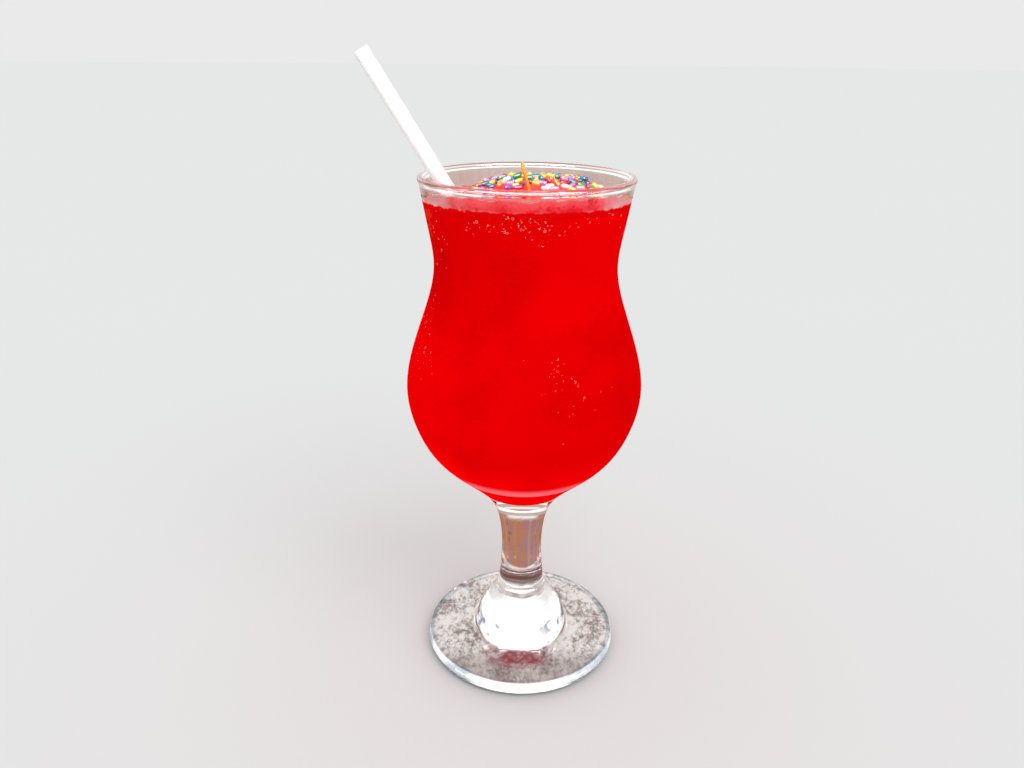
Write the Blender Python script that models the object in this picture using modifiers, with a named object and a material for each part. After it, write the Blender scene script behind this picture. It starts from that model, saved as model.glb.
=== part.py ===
"""A footed glass of strawberry daiquiri: red slush, pink froth with sprinkles, a straw and an orange strand.

Metres, +Z up. The origin is on the glass's axis, where the foot meets the table. The front is -Y.
"""

import math
import random

import bmesh
import bpy
import numpy as np
from mathutils import Matrix, Vector
from mathutils.bvhtree import BVHTree

# Glass
GLASS_HEIGHT = 0.2052
RIM_RADIUS = 0.0400
LIP_RADIUS = 0.00135
WALL = 0.0023
FOOT_RADIUS = 0.0415
FOOT_THICKNESS = 0.0057
# Outside of the stem and bowl, as (height, radius). It runs from the stem's foot up over belly and waist
BOWL_STATIONS = (
    (0.0310, 0.0096),
    (0.0460, 0.0086),
    (0.0600, 0.0095),
    (0.0700, 0.0128),
    (0.0800, 0.0212),
    (0.0930, 0.0352),
    (0.1070, 0.0435),
    (0.1220, 0.0467),
    (0.1380, 0.0442),
    (0.1560, 0.0382),
    (0.1720, 0.0348),
    (0.1860, 0.0365),
    (0.2030, 0.0395),
)
# The inside follows the outside down to here, and a round bottom closes it
BOTTOM_JOIN = 0.0775
# Two rings round the stem, as (height, radius at its root, bulge, half height)
COLLAR_RINGS = ((0.0304, 0.0095, 0.0005, 0.0007), (0.0274, 0.0100, 0.00085, 0.0020))
COLLAR_ARC = 75
# A dome under the collar: part of an upright ellipse, between two heights
DOME_RADIUS = 0.0206
DOME_RISE = 0.0273
DOME_CENTRE = 0.0025
DOME_TOP = 0.0252
DOME_FOOT = 0.0088
FILLET_RADIUS = 0.0034
FILLET_START = 200
FOOT_SLOPE = 0.0008

# Drink and froth. The gap keeps touching solids apart
GAP = 0.0003
DRINK_LEVEL = 0.1944
DRINK_FRONT_RISE = 0.0019
# Waves of the drink's top along the wall, as (height, waves round the glass, phase)
DRINK_WAVES = ((0.0004, 5, 0.6), (0.0003, 11, 2.0))
# The drink's side ends this far under its top, so that the wavy edge stays clean
DRINK_EDGE = 0.003
FROTH_LEVEL = 0.1966
FROTH_FRONT_RISE = 0.0048
FRONT_SLOPE = (0.005, -0.025)
MOUND_CENTRE = (0.004, 0.000)
MOUND_SPREAD = (0.026, 0.017)
MOUND_HEIGHT = 0.0055
# Lumps on the froth, as (height, waves per metre along X, along Y, phase)
FROTH_LUMPS = ((0.0003, 640, 410, 0.4), (0.00025, -390, 820, 1.9))

# Sprinkles, on an oval patch round the mound's top. They keep clear of the strand
SPRINKLES = 60
SPRINKLE_RADIUS = 0.00088
SPRINKLE_LENGTHS = (0.0032, 0.0052)
SPRINKLE_SUNK = 0.25
SPRINKLE_TILT = 12
SPRINKLE_PATCH = (0.0240, 0.0165)
SPRINKLE_SHIFT = 0.0007
SPRINKLE_SEED = 11
GOLDEN_ANGLE = math.pi * (3 - math.sqrt(5))

# Straw: it leans to -X and its tip stands clear of the rim
STRAW_RADIUS = 0.0029
STRAW_WALL = 0.00045
STRAW_TIP = (-0.0581, 0.0, 0.2468)
STRAW_LEAN = 31.6
STRAW_END_HEIGHT = 0.1010

# Strand: from its root in the froth to its tip, as (x, y, height, thickness factor)
STRAND_RADIUS = 0.00062
STRAND_POINTS = (
    (0.0008, -0.0180, 0.1990, 1.0),
    (0.0007, -0.0180, 0.2016, 1.15),
    (0.0001, -0.0180, 0.2036, 1.3),
    (-0.0006, -0.0181, 0.2062, 1.0),
    (-0.0015, -0.0181, 0.2090, 1.0),
    (-0.0020, -0.0180, 0.2116, 0.8),
)
STRAND_CLEARANCE = 0.0015
# The strand's hole reaches this far above its third point, past the sprinkles
STRAND_HOLE_RISE = 0.004

# How finely each shape is divided
SIDES = 48
STRAW_SIDES = 20
STRAW_SHARP_ANGLE = 40
STRAND_HOLE_SIDES = 12
SPRINKLE_SIDES = 5
BOWL_STEPS = 22
INSIDE_STEPS = 16
BOTTOM_STEPS = 3
LIP_STEPS = 6
COLLAR_STEPS = 3
DOME_STEPS = 5
FILLET_STEPS = 2
FOOT_EDGE_STEPS = 6
DRINK_RINGS = 4
FROTH_RINGS = 8


def material(name, colour, roughness, transmission=0.0):
    made = bpy.data.materials.new(name)
    made.use_nodes = True
    shader = made.node_tree.nodes["Principled BSDF"]
    shader.inputs["Base Color"].default_value = (*colour, 1.0)
    shader.inputs["Roughness"].default_value = roughness
    shader.inputs["Metallic"].default_value = 0.0
    shader.inputs["Transmission Weight"].default_value = transmission
    return made


def collection(name):
    made = bpy.data.collections.new(name)
    bpy.context.scene.collection.children.link(made)
    return made


def spline_through(stations):
    """A smooth function of height through (height, radius) stations: a natural cubic spline."""
    z, r = np.array(stations).T
    step = np.diff(z)
    count = len(z)
    system = np.eye(count)
    target = np.zeros(count)
    for i in range(1, count - 1):
        system[i, i - 1 : i + 2] = step[i - 1], 2 * (step[i - 1] + step[i]), step[i]
        target[i] = 6 * ((r[i + 1] - r[i]) / step[i] - (r[i] - r[i - 1]) / step[i - 1])
    bend = np.linalg.solve(system, target)

    def radius(height):
        i = np.clip(np.searchsorted(z, height) - 1, 0, count - 2)
        above, below, h = z[i + 1] - height, height - z[i], step[i]
        curved = (bend[i] * above**3 + bend[i + 1] * below**3) / (6 * h)
        straight = (r[i] / h - bend[i] * h / 6) * above + (r[i + 1] / h - bend[i + 1] * h / 6) * below
        return curved + straight

    return radius


def evenly(line, steps):
    """The line again, as steps + 1 points at equal distances along it."""
    line = np.array(line)
    walked = np.concatenate([[0], np.cumsum(np.linalg.norm(np.diff(line, axis=0), axis=1))])
    wanted = np.linspace(0, walked[-1], steps + 1)
    return np.stack([np.interp(wanted, walked, line[:, 0]), np.interp(wanted, walked, line[:, 1])], 1)


outside_radius = spline_through(BOWL_STATIONS)


def outside_line(low, high, fine=400):
    """Outside of the stem and bowl between two heights, upwards, as (radius, height)."""
    heights = np.linspace(low, high, fine)
    return np.stack([outside_radius(heights), heights], 1)


def inside_line(inset):
    """The bowl's inside at a distance from its outside, from the axis at the bottom up to the lip."""
    line = outside_line(BOTTOM_JOIN, BOWL_STATIONS[-1][0] - LIP_RADIUS / 2)
    along = np.gradient(line, axis=0)
    along /= np.linalg.norm(along, axis=1)[:, None]
    wall = line + inset * np.stack([-along[:, 1], along[:, 0]], 1)
    start, slope = wall[0], along[0]
    centre = start[1] + start[0] * slope[0] / slope[1]
    ball = math.hypot(start[0], centre - start[1])
    turn = math.atan2(start[0], centre - start[1])
    angles = np.linspace(0, turn, BOTTOM_STEPS + 1)[:-1]
    bottom = np.stack([ball * np.sin(angles), centre - ball * np.cos(angles)], 1)
    return bottom, evenly(wall, INSIDE_STEPS)


def radius_at(height, wall):
    """Radius of a line of (radius, height) points at a height."""
    return float(np.interp(height, wall[:, 1], wall[:, 0]))


def arc(centre, radii, start, end, steps):
    """Points on an upright ellipse, with angles in degrees from +X towards +Z."""
    angles = np.radians(np.linspace(start, end, steps + 1))
    return np.stack([centre[0] + radii[0] * np.cos(angles), centre[1] + radii[1] * np.sin(angles)], 1)


def turned(name, outline, owner, finish):
    """A turned solid. The outline is (radius, height), and runs down the outer side."""
    mesh = bpy.data.meshes.new(name)
    points = [(float(r), 0.0, float(z)) for r, z in outline]
    mesh.from_pydata(points, [(i, i + 1) for i in range(len(points) - 1)], [])
    made = bpy.data.objects.new(name, mesh)
    owner.objects.link(made)
    screw = made.modifiers.new("Screw", "SCREW")
    screw.steps = SIDES
    screw.render_steps = SIDES
    screw.use_merge_vertices = True
    screw.merge_threshold = 0.00001
    screw.use_smooth_shade = True
    mesh.materials.append(finish)
    return made


def apply_modifiers(made):
    """Replaces the object's mesh by its evaluated mesh, and drops its modifiers."""
    bpy.context.view_layer.update()
    result = bpy.data.meshes.new_from_object(made.evaluated_get(bpy.context.evaluated_depsgraph_get()))
    made.modifiers.clear()
    made.data = result


def reshape(made, place):
    """Moves each vertex to place(position)."""
    for vertex in made.data.vertices:
        vertex.co = place(vertex.co.copy())
    made.data.update()


def cut(made, cutter):
    boolean = made.modifiers.new("Cut " + cutter.name, "BOOLEAN")
    boolean.operation = "DIFFERENCE"
    boolean.object = cutter


def rod(name, radius, low, high, sides, owner, capped=True):
    """A round rod or open tube whose axis runs from low to high."""
    low, high = Vector(low), Vector(high)
    mesh = bpy.data.meshes.new(name)
    shape = bmesh.new()
    bmesh.ops.create_cone(
        shape,
        cap_ends=capped,
        segments=sides,
        radius1=radius,
        radius2=radius,
        depth=(high - low).length,
    )
    shape.to_mesh(mesh)
    shape.free()
    made = bpy.data.objects.new(name, mesh)
    owner.objects.link(made)
    made.location = (low + high) / 2
    made.rotation_euler = (high - low).to_track_quat("Z", "Y").to_euler()
    return made


def as_cutter(made):
    made.hide_render = True
    made.display_type = "WIRE"
    return made


def smooth_step(value):
    value = min(max(value, 0.0), 1.0)
    return value * value * (3 - 2 * value)


def drink_top(x, y):
    """Height at which the froth floats on the drink: higher at the front, and wavy along the wall."""
    angle = math.atan2(y, x)
    outwards = (math.hypot(x, y) / RIM_RADIUS) ** 2
    front = ((1 - math.sin(angle)) / 2) ** 2
    waves = sum(height * math.sin(count * angle + phase) for height, count, phase in DRINK_WAVES)
    return DRINK_LEVEL + outwards * (DRINK_FRONT_RISE * front + waves)


def froth_top(x, y):
    """Height of the froth: level at the back, rising to the front wall, with a broad mound in the middle."""
    start, end = FRONT_SLOPE
    front = smooth_step((start - y) / (start - end))
    across = (x - MOUND_CENTRE[0]) / MOUND_SPREAD[0]
    along = (y - MOUND_CENTRE[1]) / MOUND_SPREAD[1]
    mound = math.exp(-((across**2 + along**2) ** 2))
    lumps = sum(h * math.sin(a * x + b * y + phase) for h, a, b, phase in FROTH_LUMPS)
    return FROTH_LEVEL + FROTH_FRONT_RISE * front + MOUND_HEIGHT * mound + lumps


def make_glass(owner):
    bottom, wall = inside_line(WALL)
    lip_centre = (RIM_RADIUS - LIP_RADIUS, GLASS_HEIGHT - LIP_RADIUS)
    lip = arc(lip_centre, (LIP_RADIUS, LIP_RADIUS), 180, -30, LIP_STEPS)
    bowl = evenly(outside_line(BOWL_STATIONS[0][0], BOWL_STATIONS[-1][0] - LIP_RADIUS / 2), BOWL_STEPS)
    collar = [
        arc((root, height), (bulge, half), COLLAR_ARC, -COLLAR_ARC, COLLAR_STEPS)
        for height, root, bulge, half in COLLAR_RINGS
    ]
    dome_angles = [math.degrees(math.asin((z - DOME_CENTRE) / DOME_RISE)) for z in (DOME_TOP, DOME_FOOT)]
    dome = arc((0, DOME_CENTRE), (DOME_RADIUS, DOME_RISE), *dome_angles, DOME_STEPS)
    fillet_centre = dome[-1] + (FILLET_RADIUS, 0)
    fillet_drop = dome[-1][1] - FOOT_THICKNESS - FOOT_SLOPE
    fillet = arc(fillet_centre, (FILLET_RADIUS, fillet_drop), FILLET_START, 270, FILLET_STEPS)
    edge = FOOT_THICKNESS / 2
    foot = arc((FOOT_RADIUS - edge, edge), (edge, edge), 90, -90, FOOT_EDGE_STEPS)
    outline = [bottom, wall, lip, bowl[::-1], *collar, dome, fillet, foot, [(0.0, 0.0)]]
    finish = material("clear glass", (0.95, 0.96, 0.96), 0.02, transmission=1.0)
    return turned("glass", np.concatenate(outline), owner, finish)


def make_drink(owner):
    bottom, wall = inside_line(WALL + GAP)
    side = wall[wall[:, 1] < DRINK_LEVEL - DRINK_EDGE]
    edge = radius_at(DRINK_LEVEL, wall)
    rings = [(edge * (k + 1) / DRINK_RINGS, DRINK_LEVEL) for k in range(DRINK_RINGS)]
    outline = np.concatenate([[(0.0, DRINK_LEVEL)], rings, side[::-1], bottom[::-1]])
    made = turned("daiquiri", outline, owner, material("red slush", (0.80, 0.004, 0.006), 0.35))
    apply_modifiers(made)

    def place(point):
        if point.z < DRINK_LEVEL - GAP:
            return point
        height = drink_top(point.x, point.y) - GAP / 2
        stretch = radius_at(height, wall) / edge
        return Vector((point.x * stretch, point.y * stretch, height))

    reshape(made, place)
    return made


def make_froth(owner):
    wall = inside_line(WALL + GAP)[1]
    edge = radius_at(FROTH_LEVEL, wall)
    rings = [edge * (k + 1) / FROTH_RINGS for k in range(FROTH_RINGS)]
    low_rings = [edge * (k + 1) / DRINK_RINGS for k in range(DRINK_RINGS)]
    outline = [(0.0, FROTH_LEVEL)] + [(r, FROTH_LEVEL) for r in rings]
    outline += [(r, DRINK_LEVEL) for r in low_rings[::-1]] + [(0.0, DRINK_LEVEL)]
    made = turned("froth", outline, owner, material("pink froth", (0.98, 0.22, 0.24), 0.45))
    apply_modifiers(made)

    def place(point):
        if point.z > (DRINK_LEVEL + FROTH_LEVEL) / 2:
            height = froth_top(point.x, point.y)
        else:
            height = drink_top(point.x, point.y) + GAP / 2
        stretch = radius_at(height, wall) / edge
        return Vector((point.x * stretch, point.y * stretch, height))

    reshape(made, place)
    return made


def sprinkle_mesh(length):
    """A short rod with pointed ends, along X: a ball of two rings, drawn out."""
    mesh = bpy.data.meshes.new("sprinkle")
    shape = bmesh.new()
    ball_radius = SPRINKLE_RADIUS / math.cos(math.pi / 6)
    bmesh.ops.create_uvsphere(shape, u_segments=SPRINKLE_SIDES, v_segments=3, radius=ball_radius)
    for vertex in shape.verts:
        vertex.co.z += math.copysign(length / 2 - SPRINKLE_RADIUS, vertex.co.z)
    bmesh.ops.rotate(shape, verts=shape.verts, matrix=Matrix.Rotation(math.radians(90), 3, "Y"))
    shape.to_mesh(mesh)
    shape.free()
    return mesh


def fuse_sprinkles(froth):
    """Lays sprinkles evenly over the mound and joins them on. Each is turned, tilted and a little sunk."""
    draw = random.Random(SPRINKLE_SEED)
    surface = BVHTree.FromObject(froth, bpy.context.evaluated_depsgraph_get())
    heap = collection("sprinkles to join")
    root = Vector(STRAND_POINTS[2][:2])
    for k in range(SPRINKLES):
        out = math.sqrt((k + 0.5) / SPRINKLES)
        spot = Vector((out * math.cos(k * GOLDEN_ANGLE), out * math.sin(k * GOLDEN_ANGLE)))
        spot = Vector(MOUND_CENTRE) + spot * Vector(SPRINKLE_PATCH)
        spot += Vector((draw.gauss(0, SPRINKLE_SHIFT), draw.gauss(0, SPRINKLE_SHIFT)))
        length = draw.uniform(*SPRINKLE_LENGTHS)
        turn, tilt = draw.uniform(0, math.pi), math.radians(draw.uniform(-SPRINKLE_TILT, SPRINKLE_TILT))
        if (spot - root).length < STRAND_CLEARANCE + length / 2:
            continue
        hit, normal, _, _ = surface.ray_cast(Vector((*spot, GLASS_HEIGHT)), Vector((0, 0, -1)))
        sprinkle = bpy.data.objects.new("sprinkle", sprinkle_mesh(length))
        heap.objects.link(sprinkle)
        lie = Vector((math.cos(turn), math.sin(turn), 0)).cross(normal).normalized()
        axes = Matrix((lie, normal.cross(lie), normal)).transposed().to_4x4()
        lift = normal * SPRINKLE_RADIUS * (1 - 2 * SPRINKLE_SUNK)
        sprinkle.matrix_world = Matrix.Translation(hit + lift) @ axes @ Matrix.Rotation(tilt, 4, "Y")
    join = froth.modifiers.new("Join sprinkles", "BOOLEAN")
    join.operation = "UNION"
    join.operand_type = "COLLECTION"
    join.collection = heap
    apply_modifiers(froth)
    for sprinkle in list(heap.objects):
        bpy.data.objects.remove(sprinkle, do_unlink=True)
    bpy.data.collections.remove(heap)


def straw_point(height):
    """The point of the straw's axis at a height."""
    tip = Vector(STRAW_TIP)
    return tip + Vector((math.tan(math.radians(STRAW_LEAN)), 0, -1)) * (tip.z - height)


def make_straw(owner):
    low = straw_point(STRAW_END_HEIGHT)
    made = rod("straw", STRAW_RADIUS, low, STRAW_TIP, STRAW_SIDES, owner, capped=False)
    wall = made.modifiers.new("Wall", "SOLIDIFY")
    wall.thickness = STRAW_WALL
    wall.offset = -1
    wall.use_even_offset = True
    made.data.materials.append(material("white paper", (0.93, 0.93, 0.92), 0.6))
    made.data.shade_smooth()
    made.data.set_sharp_from_angle(angle=math.radians(STRAW_SHARP_ANGLE))
    return made


def straw_cutter(owner):
    """The straw's channel through the froth and the drink."""
    radius = (STRAW_RADIUS + GAP) / math.cos(math.pi / STRAW_SIDES)
    low = straw_point(STRAW_END_HEIGHT - GAP)
    return as_cutter(rod("straw channel", radius, low, STRAW_TIP, STRAW_SIDES, owner))


def make_strand(owner):
    curve = bpy.data.curves.new("orange_strand", "CURVE")
    curve.dimensions = "3D"
    curve.bevel_depth = STRAND_RADIUS
    curve.bevel_resolution = 1
    curve.use_fill_caps = True
    curve.resolution_u = 3
    spline = curve.splines.new("NURBS")
    spline.points.add(len(STRAND_POINTS) - 1)
    spline.order_u = 3
    spline.use_endpoint_u = True
    for point, (x, y, z, thickness) in zip(spline.points, STRAND_POINTS):
        point.co = (x, y, z, 1.0)
        point.radius = thickness
    made = bpy.data.objects.new("orange_strand", curve)
    owner.objects.link(made)
    curve.materials.append(material("orange sugar", (0.98, 0.36, 0.02), 0.3))
    return made


def strand_cutter(owner):
    """A hole round the strand's root, up to just above the froth."""
    low, high = (Vector(STRAND_POINTS[k][:3]) for k in (0, 2))
    along = (high - low).normalized()
    low -= along * GAP
    high += along * STRAND_HOLE_RISE
    radius = STRAND_RADIUS * max(point[3] for point in STRAND_POINTS) + GAP
    return as_cutter(rod("strand hole", radius, low, high, STRAND_HOLE_SIDES, owner))


def main():
    for old in list(bpy.data.objects):
        bpy.data.objects.remove(old, do_unlink=True)
    parts = collection("strawberry daiquiri")
    cutters = collection("cutters")

    make_glass(parts)
    drink = make_drink(parts)
    froth = make_froth(parts)
    fuse_sprinkles(froth)
    make_straw(parts)
    make_strand(parts)

    straw_channel = straw_cutter(cutters)
    cut(drink, straw_channel)
    cut(froth, straw_channel)
    cut(froth, strand_cutter(cutters))


main()
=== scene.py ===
"""The looks of a footed glass of strawberry daiquiri, on a pale floor.

Laid out as an add-on: settings, an operator for each piece or pair of pieces and one for the stage,
a panel that lists them, and a main function that makes it all. Metres, +Z up. The glass stands at the
origin, and its front is -Y.
"""

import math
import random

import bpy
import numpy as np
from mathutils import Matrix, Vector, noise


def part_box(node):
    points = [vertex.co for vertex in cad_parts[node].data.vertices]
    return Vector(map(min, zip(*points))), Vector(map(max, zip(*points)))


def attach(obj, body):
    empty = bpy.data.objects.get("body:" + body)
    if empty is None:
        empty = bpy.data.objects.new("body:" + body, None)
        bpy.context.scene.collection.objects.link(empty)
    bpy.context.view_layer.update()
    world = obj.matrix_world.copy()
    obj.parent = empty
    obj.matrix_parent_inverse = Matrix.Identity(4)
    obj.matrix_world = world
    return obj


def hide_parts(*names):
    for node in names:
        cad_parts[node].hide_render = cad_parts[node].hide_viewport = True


bl_info = {
    "name": "Strawberry daiquiri",
    "version": (1, 0, 0),
    "blender": (4, 5, 0),
    "location": "3D View > Sidebar > Daiquiri",
    "description": "Dresses a glass of daiquiri: glass, slush, froth, sprinkles, straw and strand",
    "category": "Object",
}

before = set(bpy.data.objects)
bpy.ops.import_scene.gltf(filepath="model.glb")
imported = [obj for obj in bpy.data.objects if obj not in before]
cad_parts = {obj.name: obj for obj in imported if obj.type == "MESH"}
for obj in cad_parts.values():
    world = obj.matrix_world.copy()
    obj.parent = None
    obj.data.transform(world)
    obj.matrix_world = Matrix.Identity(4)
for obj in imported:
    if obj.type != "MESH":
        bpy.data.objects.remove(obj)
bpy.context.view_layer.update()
GLASS_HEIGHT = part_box("glass")[1].z

# Heights at which the glass of the foot ends, then that under the drink, then that round the drink
GLASS_ZONES = (0.0725, 0.0835, 0.1985)

# Outside of the stem and bowl, as (height, radius), and the height on it where the bowl's wall starts
BOWL_STATIONS = (
    (0.0310, 0.0096),
    (0.0460, 0.0086),
    (0.0600, 0.0095),
    (0.0700, 0.0128),
    (0.0800, 0.0212),
    (0.0930, 0.0352),
    (0.1070, 0.0435),
    (0.1220, 0.0467),
    (0.1380, 0.0442),
    (0.1560, 0.0382),
    (0.1720, 0.0348),
    (0.1860, 0.0365),
    (0.2030, 0.0395),
)
BOTTOM_JOIN = 0.0803
RIM_RADIUS = 0.0400
LIP_RADIUS = 0.00135

# Rings of the collar, as (height, root radius, bulge, half height), and half the angle of their arcs
COLLAR_RINGS = ((0.0304, 0.0095, 0.0005, 0.0007), (0.0274, 0.0100, 0.00085, 0.0020))
COLLAR_ARC = 75

# The dome is part of an upright ellipse, between two heights. A fillet joins it to the foot
DOME_RADIUS = 0.0206
DOME_RISE = 0.0273
DOME_CENTRE = 0.0025
DOME_TOP = 0.0252
DOME_FOOT = 0.0088
FILLET_RADIUS = 0.0034
FILLET_START = 200
FOOT_RADIUS = 0.0415
FOOT_THICKNESS = 0.0057
FOOT_SLOPE = 0.0008

# Tops of the drink and of the froth. The slush's side ends at a shoulder under its top. The froth reaches
# a little deeper into the wall than the slush, and its underside dips into the slush and is ragged
DRINK_LEVEL = 0.1944
DRINK_FRONT_RISE = 0.0019
DRINK_WAVES = ((0.0004, 5, 0.6), (0.0003, 11, 2.0))
DRINK_SHOULDER = 0.003
DRINK_RINGS = 40
FROTH_LEVEL = 0.1966
FROTH_FRONT_RISE = 0.0048
FRONT_SLOPE = (0.005, -0.025)
MOUND_CENTRE = (0.004, 0.000)
MOUND_SPREAD = (0.026, 0.017)
MOUND_HEIGHT = 0.0055
FROTH_LUMPS = ((0.0003, 640, 410, 0.4), (0.00025, -390, 820, 1.9))
FROTH_RINGS = 90
FROTH_LOW_RINGS = 20
FROTH_SIDES = 256
FROTH_REACH = 1.3
FROTH_DIP = 0.0004
FROTH_RAGS = 0.0006

# The film on the wall above the froth
FILM_BOTTOM = 0.1950
FILM_GAP = 0.00002
FILM_THICKNESS = 0.00008
FILM_FADE = 0.0012

# Straw's tip and lean, and the strand from root to tip as (x, y, height, thickness factor)
STRAW_TIP = (-0.0581, 0.0, 0.2468)
STRAW_LEAN = 31.6
STRAW_END_HEIGHT = 0.1010
STRAW_RINGS = 60
STRAW_SIDES = 48
STRAND_POINTS = (
    (0.0008, -0.0180, 0.1990, 1.0),
    (0.0007, -0.0180, 0.2016, 1.15),
    (0.0001, -0.0180, 0.2036, 1.3),
    (-0.0006, -0.0181, 0.2062, 1.0),
    (-0.0015, -0.0181, 0.2090, 1.0),
    (-0.0020, -0.0180, 0.2116, 0.8),
)

# Shares of the lamps' light that pass the foot and the other glass, and the most bounces of light in it
FOOT_LIGHT = 0.25
GLASS_LIGHT = 0.985
MOST_BOUNCES = 3.5

# Where the materials change: two values are the start and the end of a change, and four are a band,
# which grows from the first to the second and fades from the third to the fourth
# The front of the glass, and the band above the collar, where a dark reflection is painted
GLASS_FRONT = (0.002, -0.002)
DARK_REFLECTION_BAND = (0.0316, 0.0326, 0.0380, 0.0392)
DULL_BAND = (0.0216, 0.0226, 0.0251, 0.0255)
# Where a bluish-grey reflection is painted on the foot's edge, at its left and right
EDGE_REFLECTION_HEIGHTS = (0.0075, 0.0070)
EDGE_REFLECTION_RADII = (0.0386, 0.0396)
EDGE_REFLECTION_ASIDE = (0.010, 0.022)
# Painted light from the side, warming the slush's upper left edge
WARM_LEFT = (-0.0322, -0.0345)
WARM_HEIGHTS = (0.176, 0.188)
# A painted highlight: the pale pink ring low in the bowl
RING_HIGHLIGHT_BAND = (0.0855, 0.0863, 0.0885, 0.0925)
RING_HIGHLIGHT_ASIDE = (0.025, 0.018)
# The slush's painted glow: more low in the bowl and at the waist, more on the left below the waist
BOWL_LIGHT = (0.110, 0.085)
WAIST_LIGHT = (0.145, 0.160)
LEFT_LIGHT = (0.012, -0.035)
LEFT_HEIGHTS = (0.165, 0.145)
FROTH_PALING = (0.0005, 0.0045)
FROTH_SUNK = (0.0003, -0.0003)
FROTH_WAVES = 0.0018
FROTH_MIDDLE = 0.001
FROTH_ASIDE = (0.0215, 0.0310)
FOAM_RING = (0.0315, 0.0330, 0.0360, 0.0366)
STRAND_YELLOW = (0.2060, 0.2110)

# Stage. The floor lies just under the foot, and the room's table between them
FLOOR_RADIUS = 30.0
FLOOR_SIDES = 96
FLOOR_GAP = 0.0002
KEY_COMES_FROM = (0.45, -0.75, 1.0)
ROOM_RADIUS = 1.6
ROOM_HEIGHT = 1.2
ROOM_SIDES = 64

# Curved white cards in front, as (degrees to each side, lower edge, upper edge), with each edge as
# (radius, height)
CARDS = (
    (75, (0.9, 0.001), (0.9, 0.225)),
    (65, (0.9, 0.42), (0.5, 1.19)),
)
CARD_STEPS = 24

# Places in the room: the painted shade on the mottled table's front, the painted reflection of the
# drink's red on that table, the wood round it, the white wall behind, the one all round above that, and
# the steel streaks on both.
# A way is 1 straight behind the glass, 0 at its side and -1 in front of it
TABLE_SHADE_FRONT = (-0.014, -0.026)
MIRRORED_RING = (0.0135, 0.0165, 0.0265, 0.0300)
MIRRORED_FRONT = (-0.009, -0.015)
MIRRORED_MIDDLE = -0.0016
MIRRORED_ASIDE = (0.0150, 0.0110)
WOOD_START = (0.041, 0.046)
WALL_START = (0.215, 0.245)
WALL_WAYS = (-0.1, 0.2)
UPPER_WALL_START = (0.40, 0.50)
STEEL_WAYS = (0.75, 0.55)
WHITE_WALL = (1.25, 1.25, 1.25)

# Tones of the table farther off, as (setting, distances, ways)
FAR_TONES = (
    ("gloom", (0.20, 0.40), (0.6, 0.3)),
    ("chalk", (0.24, 0.48), (0.84, 0.97)),
    ("beige", (0.75, 1.00), (0.2, 0.5)),
)

# The camera stands where the photograph was taken from
CAMERA_PLACE = (-0.0048, -0.2997, 0.2447)
CAMERA_TILT = 67.835
CAMERA_ROLL = 0.5
CAMERA_LENS = 28.21


def srgb(red, green, blue):
    """A screen colour, from 0 to 255, as the linear colour that the shaders take."""
    shares = (c / 255 for c in (red, green, blue))
    return tuple(c / 12.92 if c < 0.04 else ((c + 0.055) / 1.055) ** 2.4 for c in shares)


# Colours of the sugar sprinkles
SUGARS = {
    "cherry": srgb(226, 44, 90),
    "forest": srgb(16, 96, 56),
    "navy": srgb(38, 60, 142),
    "lilac": srgb(206, 132, 224),
    "amber": srgb(250, 160, 20),
    "sky": srgb(96, 150, 214),
    "rose": srgb(246, 160, 196),
    "violet": srgb(150, 76, 178),
    "crimson": srgb(206, 26, 54),
    "emerald": srgb(20, 146, 96),
    "lemon": srgb(250, 236, 24),
    "cream": srgb(253, 246, 238),
    "peach": srgb(251, 206, 170),
    "orange": srgb(252, 136, 40),
    "maroon": srgb(128, 14, 30),
    "teal": srgb(30, 122, 156),
    "leaf": srgb(84, 172, 52),
    "gold": srgb(246, 206, 34),
}

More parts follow.
